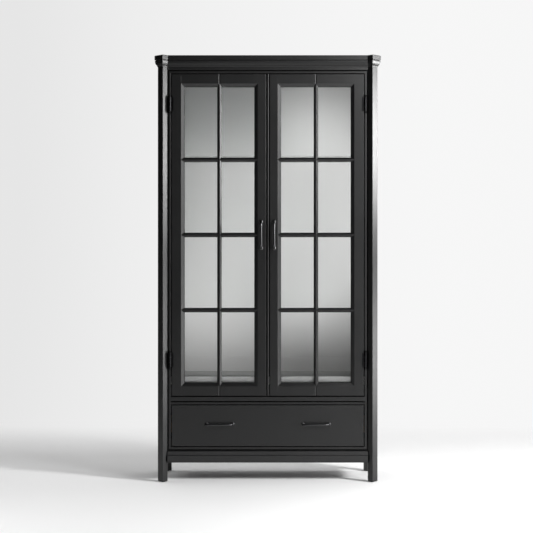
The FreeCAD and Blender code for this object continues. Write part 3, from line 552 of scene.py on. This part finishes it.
def bowGrip(x, faceY, z):
    h = bowHandle
    half = h["spacing"] / 2
    bowRadius = (half - h["bend"] + h["bend"] * math.sin(h["bow"])) / math.sin(h["bow"])
    rise = h["bend"] * math.cos(h["bow"]) + bowRadius * (1 - math.cos(h["bow"]))
    neck = h["projection"] - h["bar"] - rise
    flare = h["roseHeight"] - h["roseRim"]
    foot = [(0, h["rose"]), (h["roseRim"], h["rose"])]
    spare = h["rose"] - h["bar"]
    foot += [(h["roseRim"] + flare * out, h["bar"] + spare * wide) for out, wide in h["roseCurve"]]
    foot += [(h["roseHeight"], h["bar"]), (neck, h["bar"])]
    upper = Vector((x, faceY, z + half))
    piece = growFrom(upper, (0, -1, 0), foot, h["sides"])
    corner = math.radians(90) - h["bow"]
    spins = (
        (h["cornerSteps"], corner, (x, faceY - neck, z + half - h["bend"])),
        (h["bowSteps"], 2 * h["bow"], (x, faceY + bowRadius + h["bar"] - h["projection"], z)),
        (h["cornerSteps"], corner, (x, faceY - neck, z - half + h["bend"])),
    )
    for steps, angle, centre in spins:
        bpy.ops.mesh.spin(steps=steps, angle=-angle, center=centre, axis=(1, 0, 0))
    lower = Vector((x, faceY, z - half))
    pullOut(lower, Vector((0, -1, 0)), foot[::-1])
    bpy.ops.object.mode_set(mode="OBJECT")
    tidyMesh(piece, 40)
    addModifier(
        piece, "BEVEL", width=h["edge"], segments=2, limit_method="ANGLE", angle_limit=math.radians(50)
    )
    return piece


for side in ("left", "right"):
    low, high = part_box(side + "_door_handle")
    grip = bowGrip((low.x + high.x) / 2, high.y, (low.z + high.z) / 2)
    door = side + "_door"
    handOver(grip, side + "DoorBowHandle", door, handleMetal, [door + "_handle"])

# the same handle lying down, twice, on the drawer
low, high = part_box("drawer_handles")
reach = bowHandle["spacing"] / 2 + bowHandle["rose"]
middle = (low.x + reach, high.y, (low.z + high.z) / 2)
firstGrip = bowGrip(*middle)
lyingGrip = copyTo(firstGrip, turn=Matrix.Rotation(math.radians(90), 3, "Y"), about=middle)
bpy.data.objects.remove(firstGrip)
secondGrip = copyTo(lyingGrip, shift=(high.x - low.x - 2 * reach, 0, 0))
grips = joinUp([lyingGrip, secondGrip])
handOver(grips, "drawerBowHandles", "drawer", pullMetalShaded, ["drawer_handles"])
print("handles modelled")

# pan-head screws that hold the handles from behind
panScrew = {
    "shank": 0.0018,
    "length": 0.018,
    "head": 0.004,
    "height": 0.002,
    "rim": 0.0002,
    "dome": ((0.5, 1), (0.8, 0.88), (0.95, 0.66), (1, 0.45)),  # shares of height and head
    "cross": 0.0046,
    "crossWidth": 0.0009,
    "crossDepth": 0.0011,
    "sides": 20,
}
p = panScrew
outline = [(-p["length"], p["shank"]), (0, p["shank"]), (0, p["head"] * 0.97), (p["rim"], p["head"])]
outline += [(p["height"] * up, p["head"] * wide) for up, wide in p["dome"]]
screw = turnedPiece(outline, p["sides"])
cutCross(screw, p["height"], p["cross"], p["crossWidth"], p["crossDepth"])
tidyMesh(screw, 40)
reachZ = bowHandle["spacing"] / 2
for side in ("left", "right"):
    door = side + "_door"
    low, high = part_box(door + "_handle_screws")
    level = (low.z + high.z) / 2
    spots = facesBack([((low.x + high.x) / 2, high.y - p["height"], level + dz) for dz in (-reachZ, reachZ)])
    screws = setOut(screw, spots)
    handOver(screws, side + "DoorHandleScrews", door, zincSteel, [door + "_handle_screws"])
low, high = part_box("drawer_handle_screws")
level = (low.z + high.z) / 2
first, last = low.x + p["head"], high.x - p["head"]
acrossDrawer = (first, first + 2 * reachZ, last - 2 * reachZ, last)
screws = setOut(screw, facesBack([(x, high.y - p["height"], level) for x in acrossDrawer]))
handOver(screws, "drawerHandleScrews", "drawer", zincSteel, ["drawer_handle_screws"])
bpy.data.objects.remove(screw)

# hinge pins with their turned finials; upper half of the outline, the lower one mirrors it
hingePin = {
    "pin": 0.0025,
    "shoulder": 0.032,
    "finial": (  # height over the middle of the hinge, radius
        (0.0320, 0.0042), (0.0325, 0.0042), (0.0329, 0.0039), (0.0332, 0.0031),
        (0.0337, 0.0025), (0.0342, 0.0026), (0.0349, 0.0033), (0.0357, 0.0039),
        (0.0366, 0.0042), (0.0376, 0.0041), (0.0387, 0.0035), (0.0397, 0.0026),
        (0.0404, 0.0019), (0.0409, 0.0017), (0.0412, 0.0012), (0.0413, 0.0005),
    ),
    "sides": 28,
}
low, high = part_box("hinge_pins")
widest = max(radius for z, radius in hingePin["finial"])
tip = hingePin["finial"][-1][0]
upperHalf = [(hingePin["shoulder"], hingePin["pin"]), *hingePin["finial"]]
lowerHalf = [(-z, radius) for z, radius in reversed(upperHalf)]
pin = turnedPiece(lowerHalf + upperHalf, hingePin["sides"])
tidyMesh(pin, 60)
pinY = (low.y + high.y) / 2
hingePlaces = [(x, pinY, z) for x in (low.x + widest, high.x - widest) for z in (low.z + tip, high.z - tip)]
pins = setOut(pin, [(place, (0, 0, 1)) for place in hingePlaces])
handOver(pins, "hingePinsTurned", "cabinet", hingeMetal, ["hinge_pins"])
bpy.data.objects.remove(pin)

# low oval screw heads on the hinge leaves
leafScrew = {
    "door": (0.4377, -0.1575),  # x, y of the row in the door leaf
    "frame": (0.4388, -0.1555),
    "head": 0.0031,
    "sunk": 0.0006,
    "rise": 0.00035,
    "spread": 0.022,
    "cross": 0.0034,
    "crossWidth": 0.0006,
    "crossDepth": 0.0003,
    "sides": 18,
}
p = leafScrew
outline = [
    (-p["sunk"], p["head"] * 0.7), (0, p["head"]), (p["rise"] * 0.35, p["head"]),
    (p["rise"] * 0.8, p["head"] * 0.85), (p["rise"], p["head"] * 0.6),
]
head = turnedPiece(outline, p["sides"])
cutCross(head, p["rise"], p["cross"], p["crossWidth"], p["crossDepth"])
tidyMesh(head, 30)
hingeLevels = sorted({round(place[2], 5) for place in hingePlaces})
heights = [z + dz for z in hingeLevels for dz in (-p["spread"], 0, p["spread"])]
doorX, doorY = p["door"]
frameX, frameY = p["frame"]
frameSpots = []
for side, sign in (("left", -1), ("right", 1)):
    doorSpots = [((sign * doorX, doorY, z), (sign, 0, 0)) for z in heights]
    handOver(setOut(head, doorSpots), side + "DoorLeafScrews", side + "_door", hingeMetal)
    frameSpots += [((sign * frameX, frameY, z), (-sign, 0, 0)) for z in heights]
handOver(setOut(head, frameSpots), "frameLeafScrews", "cabinet", hingeMetal)
bpy.data.objects.remove(head)
print("hinges and screws modelled")

# shelf pins with a collar, and the spare holes above and below them in metal bushes
shelfPin = {
    "radius": 0.0025,
    "inHole": 0.008,
    "out": 0.010,
    "collar": 0.0042,
    "collarDepth": 0.0018,
    "sides": 18,
}
p = shelfPin
low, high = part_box("shelf_pins")
wallX = high.x - p["inHole"]
rows = (low.y + p["radius"], high.y - p["radius"])
levels = [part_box("glass_shelf_" + which)[0].z - p["radius"] for which in ("lower", "middle", "upper")]
outline = [
    (-p["inHole"], p["radius"] * 0.9), (0, p["radius"] * 0.9),
    (0, p["collar"]), (p["collarDepth"] * 0.7, p["collar"]), (p["collarDepth"], p["collar"] * 0.9),
    (p["collarDepth"], p["radius"]), (p["out"] - 0.0007, p["radius"]),
    (p["out"] - 0.0002, p["radius"] * 0.85), (p["out"], p["radius"] * 0.6),
]
pin = turnedPiece(outline, p["sides"])
tidyMesh(pin, 40)
spots = [((sign * wallX, y, z), (-sign, 0, 0)) for sign in (-1, 1) for y in rows for z in levels]
handOver(setOut(pin, spots), "shelfPinsTurned", "cabinet", zincSteel, ["shelf_pins"])
bpy.data.objects.remove(pin)

holeBush = {
    "step": 0.032,
    "each": 3,  # holes above and below each pin
    "rim": 0.0040,
    "hole": 0.0026,
    "sunk": 0.001,
    "rise": 0.0005,
    "bottom": 0.00008,
    "sides": 14,
}
p = holeBush
outline = [
    (-p["sunk"], p["rim"]), (p["rise"] * 0.6, p["rim"]), (p["rise"], p["rim"] * 0.9),
    (p["rise"], p["hole"]), (p["bottom"], p["hole"] * 0.9),
]
bush = turnedPiece(outline, p["sides"])
tidyMesh(bush, 40)
shifts = [k * p["step"] for k in range(-p["each"], p["each"] + 1) if k]
heights = [z + dz for z in levels for dz in shifts]
spots = [((sign * wallX, y, z), (-sign, 0, 0)) for sign in (-1, 1) for y in rows for z in heights]
handOver(setOut(bush, spots), "shelfHoleBushes", "cabinet", hingeMetal)
bpy.data.objects.remove(bush)

# brads along the glazing beads
brad = {
    "head": 0.0009,
    "sunk": 0.0006,
    "rise": 0.0002,
    "inset": 0.0045,
    "upright": 10,
    "across": 4,
    "end": 0.045,
    "sides": 8,
}
p = brad
outline = [
    (-p["sunk"], p["head"] * 0.6), (0, p["head"]),
    (p["rise"] * 0.6, p["head"]), (p["rise"], p["head"] * 0.7),
]
nail = turnedPiece(outline, p["sides"])
tidyMesh(nail, 40)


def evenly(start, end, count):
    return [start + k * (end - start) / (count - 1) for k in range(count)]


for side in ("left", "right"):
    low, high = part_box(side + "_door_glazing_beads")
    heights = evenly(low.z + p["end"], high.z - p["end"], p["upright"])
    widths = evenly(low.x + p["end"], high.x - p["end"], p["across"])
    places = [(x, high.y, z) for z in heights for x in (low.x + p["inset"], high.x - p["inset"])]
    places += [(x, high.y, z) for x in widths for z in (low.z + p["inset"], high.z - p["inset"])]
    brads = setOut(nail, facesBack(places))
    handOver(brads, side + "DoorBeadBrads", side + "_door", zincSteel)
bpy.data.objects.remove(nail)

# dowel ends where the drawer sides meet the back
dowel = {
    "radius": 0.004,
    "sunk": 0.004,
    "rise": 0.0002,
    "inset": 0.006,
    "levels": (0.190, 0.217, 0.244, 0.271),
    "sides": 16,
}
p = dowel
outline = [(-p["sunk"], p["radius"]), (p["rise"] * 0.5, p["radius"]), (p["rise"], p["radius"] * 0.93)]
end = turnedPiece(outline, p["sides"])
tidyMesh(end, 40)
low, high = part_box("drawer_sides")
faces = ((low.x, -1), (high.x, 1))
spots = [((x, high.y - p["inset"], z), (sign, 0, 0)) for x, sign in faces for z in p["levels"]]
handOver(setOut(end, spots), "drawerDowelEnds", "drawer", beechDeep)
bpy.data.objects.remove(end)

# clear stops stuck on the backs of the doors
doorStop = {
    "radius": 0.0035,
    "height": 0.0008,
    "dome": ((0, 1), (0.35, 1), (0.7, 0.85), (0.93, 0.55), (1, 0.2)),  # shares of height and radius
    "x": 0.30,
    "levels": (0.420, 1.849),
    "sides": 20,
}
p = doorStop
dome = turnedPiece([(p["height"] * up, p["radius"] * wide) for up, wide in p["dome"]], p["sides"])
tidyMesh(dome, 60)
for side, sign in (("left", -1), ("right", 1)):
    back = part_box(side + "_door_bottom_rail")[1].y
    stops = setOut(dome, facesBack([(sign * p["x"], back, z) for z in p["levels"]]))
    handOver(stops, side + "DoorSoftStops", side + "_door", softRubber)
bpy.data.objects.remove(dome)

# screws through the plastic catches
catchScrew = {
    "shank": 0.0013,
    "sunk": 0.002,
    "head": 0.0026,
    "rise": 0.0009,
    "slot": 0.0006,
    "catchX": 0.043,
    "spread": 0.013,
    "sides": 16,
}
p = catchScrew
outline = [
    (-p["sunk"], p["shank"]), (0, p["shank"]), (0, p["head"]),
    (p["rise"] * 0.5, p["head"]), (p["rise"] * 0.85, p["head"] * 0.8), (p["rise"], p["head"] * 0.5),
]
head = turnedPiece(outline, p["sides"])
cutCross(head, p["rise"], p["head"] * 1.2, p["slot"], p["slot"])
tidyMesh(head, 40)
low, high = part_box("magnetic_catches")
level = (low.z + high.z) / 2
widths = [sign * p["catchX"] + dx for sign in (-1, 1) for dx in (-p["spread"], p["spread"])]
screws = setOut(head, facesBack([(x, high.y, level) for x in widths]))
handOver(screws, "catchScrews", "cabinet", zincSteel)
bpy.data.objects.remove(head)
print("small fittings modelled")

# studio: paper floor with a cove behind
studio = {
    "halfWidth": 9.0,
    "frontY": -9.0,
    "backY": 3.2,
    "height": 7.0,
    "cove": 1.4,
    "colour": (0.80, 0.80, 0.80),
    "roughness": 0.9,
    "behind": (0.7, 2.0),  # y from which the paper starts to glow, and where it glows fully
    "around": (2.6, 4.2),  # the same by distance from the cabinet
    "mirrored": (1.5, 3.0),  # half width of the part that lacquer and metal see
    # painted light: how bright the far paper glows from left to right
    "paintedLightRamp": ((0.0, 0.780), (0.22, 0.855), (0.5, 0.895), (0.78, 0.930), (1.0, 0.925)),
    "toneReach": 1.7,
    "sky": (0.02, 0.9),  # as a light, as it is looked at
}


def straightView(tree):
    rays = tree.nodes.new("ShaderNodeLightPath")
    turns = reckon(tree, "SUBTRACT", rays.outputs["Ray Depth"], rays.outputs["Transmission Depth"])
    # 1 for what is looked at directly or straight through glass, 0 once a ray has been thrown back
    through = reckon(tree, "MULTIPLY", rays.outputs["Is Transmission Ray"], spread(tree, turns, 0, 1, 1, 0))
    return rays, reckon(tree, "MAXIMUM", rays.outputs["Is Camera Ray"], through)


def pickEdges(piece, wanted):
    for vertex in piece.data.vertices:
        vertex.select = wanted(vertex.co)
    for edge in piece.data.edges:
        edge.select = all(wanted(piece.data.vertices[i].co) for i in edge.vertices)
    for face in piece.data.polygons:
        face.select = False
    bpy.ops.object.mode_set(mode="EDIT")
    bpy.ops.mesh.select_mode(type="EDGE")


clearAll()
bpy.ops.mesh.primitive_plane_add(size=1, location=(0, (studio["frontY"] + studio["backY"]) / 2, 0))
floor = bpy.context.object
floor.name = "studioFloor"
floor.scale = (2 * studio["halfWidth"], studio["backY"] - studio["frontY"], 1)
bpy.ops.object.transform_apply(location=True, rotation=True, scale=True)
backLine = studio["backY"] - 0.01
pickEdges(floor, lambda corner: corner.y > backLine)
bpy.ops.mesh.extrude_region_move(TRANSFORM_OT_translate={"value": (0, 0, studio["height"])})
bpy.ops.object.mode_set(mode="OBJECT")
pickEdges(floor, lambda corner: corner.y > backLine and corner.z < 0.01)
bpy.ops.mesh.bevel(offset=studio["cove"], segments=24, affect="EDGES")
bpy.ops.object.mode_set(mode="OBJECT")
bpy.ops.object.shade_smooth()

# painted light: far off the paper glows to the eye with a painted gradient, darker to the left and brighter
# to the right; near by it is only lit
paper, tree, shader = newMaterial("studioPaper")
shader.inputs["Base Color"].default_value = (*studio["colour"], 1)
shader.inputs["Roughness"].default_value = studio["roughness"]
split = tree.nodes.new("ShaderNodeSeparateXYZ")
tree.links.new(placeIn(tree), split.inputs[0])
paintedLightRamp = tree.nodes.new("ShaderNodeValToRGB")
paintedLightRamp.color_ramp.interpolation = "B_SPLINE"
while len(paintedLightRamp.color_ramp.elements) < len(studio["paintedLightRamp"]):
    paintedLightRamp.color_ramp.elements.new(0.5)
for stop, (position, tone) in zip(paintedLightRamp.color_ramp.elements, studio["paintedLightRamp"]):
    stop.position = position
    stop.color = (tone, tone, tone, 1)
sideways = spread(tree, split.outputs["X"], -studio["toneReach"], studio["toneReach"], 0, 1)
tree.links.new(sideways, paintedLightRamp.inputs["Fac"])
glow = tree.nodes.new("ShaderNodeEmission")
tree.links.new(paintedLightRamp.outputs["Color"], glow.inputs["Color"])
rays, straight = straightView(tree)
# lacquer and metal see only the middle of it, so the outer faces of the posts stay dark
mirrored = spread(tree, reckon(tree, "ABSOLUTE", split.outputs["X"], 0), *studio["mirrored"], 1, 0)
glossy = reckon(tree, "MULTIPLY", rays.outputs["Is Glossy Ray"], mirrored)
bounced = reckon(tree, "MAXIMUM", rays.outputs["Is Transmission Ray"], glossy)
seen = reckon(tree, "MAXIMUM", bounced, straight)
behind = reckon(tree, "MULTIPLY", seen, spread(tree, split.outputs["Y"], *studio["behind"], 0, 1))
# all round, beyond the reach of the lamps, it is as bright as behind
distance = tree.nodes.new("ShaderNodeVectorMath")
distance.operation = "LENGTH"
tree.links.new(placeIn(tree), distance.inputs[0])
outer = spread(tree, distance.outputs["Value"], *studio["around"], 0, 1)
around = reckon(tree, "MULTIPLY", straight, outer)
blend = tree.nodes.new("ShaderNodeMixShader")
tree.links.new(reckon(tree, "MAXIMUM", behind, around), blend.inputs["Fac"])
tree.links.new(shader.outputs["BSDF"], blend.inputs[1])
tree.links.new(glow.outputs["Emission"], blend.inputs[2])
# seen from behind the paper is left out, so the back of the cabinet can be looked at
paperSide = tree.nodes.new("ShaderNodeNewGeometry")
clear = tree.nodes.new("ShaderNodeBsdfTransparent")
oneSided = tree.nodes.new("ShaderNodeMixShader")
tree.links.new(paperSide.outputs["Backfacing"], oneSided.inputs["Fac"])
tree.links.new(blend.outputs["Shader"], oneSided.inputs[1])
tree.links.new(clear.outputs["BSDF"], oneSided.inputs[2])
tree.links.new(oneSided.outputs["Shader"], tree.nodes["Material Output"].inputs["Surface"])
floor.data.materials.append(paper)

world = bpy.data.worlds.new("studioWorld")
bpy.context.scene.world = world
world.use_nodes = True
tree = world.node_tree
background = tree.nodes["Background"]
background.inputs["Color"].default_value = (1, 1, 1, 1)
rays, straight = straightView(tree)
tree.links.new(spread(tree, straight, 0, 1, *studio["sky"]), background.inputs["Strength"])


def lightGroup(name, objects, state="INCLUDE"):
    group = bpy.data.collections.new(name)
    for item in objects:
        group.objects.link(item)
    for entry in group.collection_objects:
        entry.light_linking.link_state = state
    return group


# the pale parts inside have their own lamps, and door glass mirrors none of the cabinet's
inside = [nodes["back_panel"], nodes["compartment_floor"]]
panes = [nodes["left_door_glass"], nodes["right_door_glass"]]
lit = {
    "floor": lightGroup("litFloor", [floor]),
    "cabinet": lightGroup("litCabinet", [floor] + inside + panes, "EXCLUDE"),
    "interior": lightGroup("litInterior", inside),
}
poolShades = lightGroup("poolShades", [floor, nodes["compartment_floor"]])


def softbox(name, place, target, size, power, receives):
    data = bpy.data.lights.new(name, "AREA")
    data.shape = "RECTANGLE"
    data.size, data.size_y = size
    data.energy = power
    lamp = bpy.data.objects.new(name, data)
    bpy.context.scene.collection.objects.link(lamp)
    lamp.location = place
    lamp.rotation_euler = (Vector(target) - Vector(place)).to_track_quat("-Z", "Y").to_euler()
    lamp.visible_camera = False
    lamp.light_linking.receiver_collection = lit[receives]
    if receives == "interior":
        lamp.light_linking.blocker_collection = poolShades


# name, place, what it points at, size, watts, what it lights
lamps = (
    ("floorKey", (3.0, -2.2, 1.83), (0, -0.1, 0), (0.6, 0.6), 206, "floor"),
    ("floorKeyFront", (2.2, -3.0, 1.83), (0, -0.1, 0), (0.6, 0.6), 56, "floor"),
    ("floorOverhead", (0, 1.4, 4.2), (0, 0.6, 0), (4.0, 1.5), 46, "floor"),
    ("floorLeft", (-2.8, 0.2, 2.4), (-0.9, 0.2, 0), (2.0, 2.0), 23, "floor"),
    ("floorRight", (3.5, 0.2, 1.2), (0.4, 0.1, 0), (1.5, 1.0), 26, "floor"),
    ("floorFrontLeft", (-1.6, -1.6, 0.8), (-0.9, -0.8, 0), (0.5, 0.5), 5, "floor"),
    ("key", (2.0, -3.6, 2.5), (0, -0.2, 1.0), (0.9, 0.9), 48, "cabinet"),
    ("keyNear", (1.6, -2.0, 1.6), (0, -0.2, 1.0), (0.8, 0.8), 23, "cabinet"),
    ("nearHigh", (1.0, -1.6, 2.3), (0.4, -0.17, 1.7), (0.5, 0.5), 8.4, "cabinet"),
    ("nearSide", (1.6, -0.8, 2.0), (0.3, -0.17, 1.4), (0.6, 0.6), 6.8, "cabinet"),
    ("nearLow", (1.4, -1.4, 0.6), (0.3, -0.17, 0.4), (0.5, 0.5), 8.0, "cabinet"),
    ("rightLow", (2.4, -0.3, 0.5), (0, -0.3, 0.5), (0.45, 0.6), 18, "cabinet"),
    ("rightMiddle", (2.4, -0.3, 1.7), (0, -0.3, 1.7), (0.45, 0.6), 60, "cabinet"),
    ("rightTop", (2.4, -0.3, 2.3), (0, -0.3, 2.3), (0.45, 0.6), 8, "cabinet"),
    ("backFill", (-1.5, 4.5, 3.2), (0, 0.2, 1.0), (2.0, 2.0), 120, "cabinet"),
    ("insideWide", (0, -0.116, 1.25), (0, 0.184, 1.25), (0.9, 0.7), 1.56, "interior"),
    ("insideRightEdge", (0.43, -0.016, 1.2), (0.43, 0.184, 1.2), (0.08, 0.7), 0.38, "interior"),
    ("insideLeftEdge", (-0.43, -0.016, 0.8), (-0.43, 0.184, 0.8), (0.08, 0.6), 0.10, "interior"),
    ("insideLeftLow", (-0.25, -0.066, 0.65), (-0.25, 0.184, 0.65), (0.4, 0.25), 0.25, "interior"),
    ("insideRightHigh", (0.3, -0.016, 1.65), (0.3, 0.184, 1.65), (0.4, 0.25), 0.30, "interior"),
    ("insideRightLow", (0.25, -0.016, 0.8), (0.25, 0.184, 0.8), (0.4, 0.2), 0.225, "interior"),
    ("insideLeftMiddle", (-0.25, -0.016, 0.85), (-0.25, 0.184, 0.85), (0.4, 0.2), 0.12, "interior"),
)
for row in lamps:
    softbox(*row)

view = {
    "place": (-0.0054, -6.6062, 0.9786),
    "sensor": 36,
    "distanceToWidth": 1417 / 533,  # how many times its own width the frame is away
    "farthest": 60,
}
cameraData = bpy.data.cameras.new("cabinetCamera")
cameraData.sensor_width = view["sensor"]
cameraData.lens = view["sensor"] * view["distanceToWidth"]
cameraData.clip_end = view["farthest"]
camera = bpy.data.objects.new("cabinetCamera", cameraData)
bpy.context.scene.collection.objects.link(camera)
camera.location = view["place"]
camera.rotation_euler = (math.radians(90), 0, 0)
bpy.context.scene.camera = camera
bpy.context.scene.view_settings.view_transform = "Standard"
print("studio and camera ready")
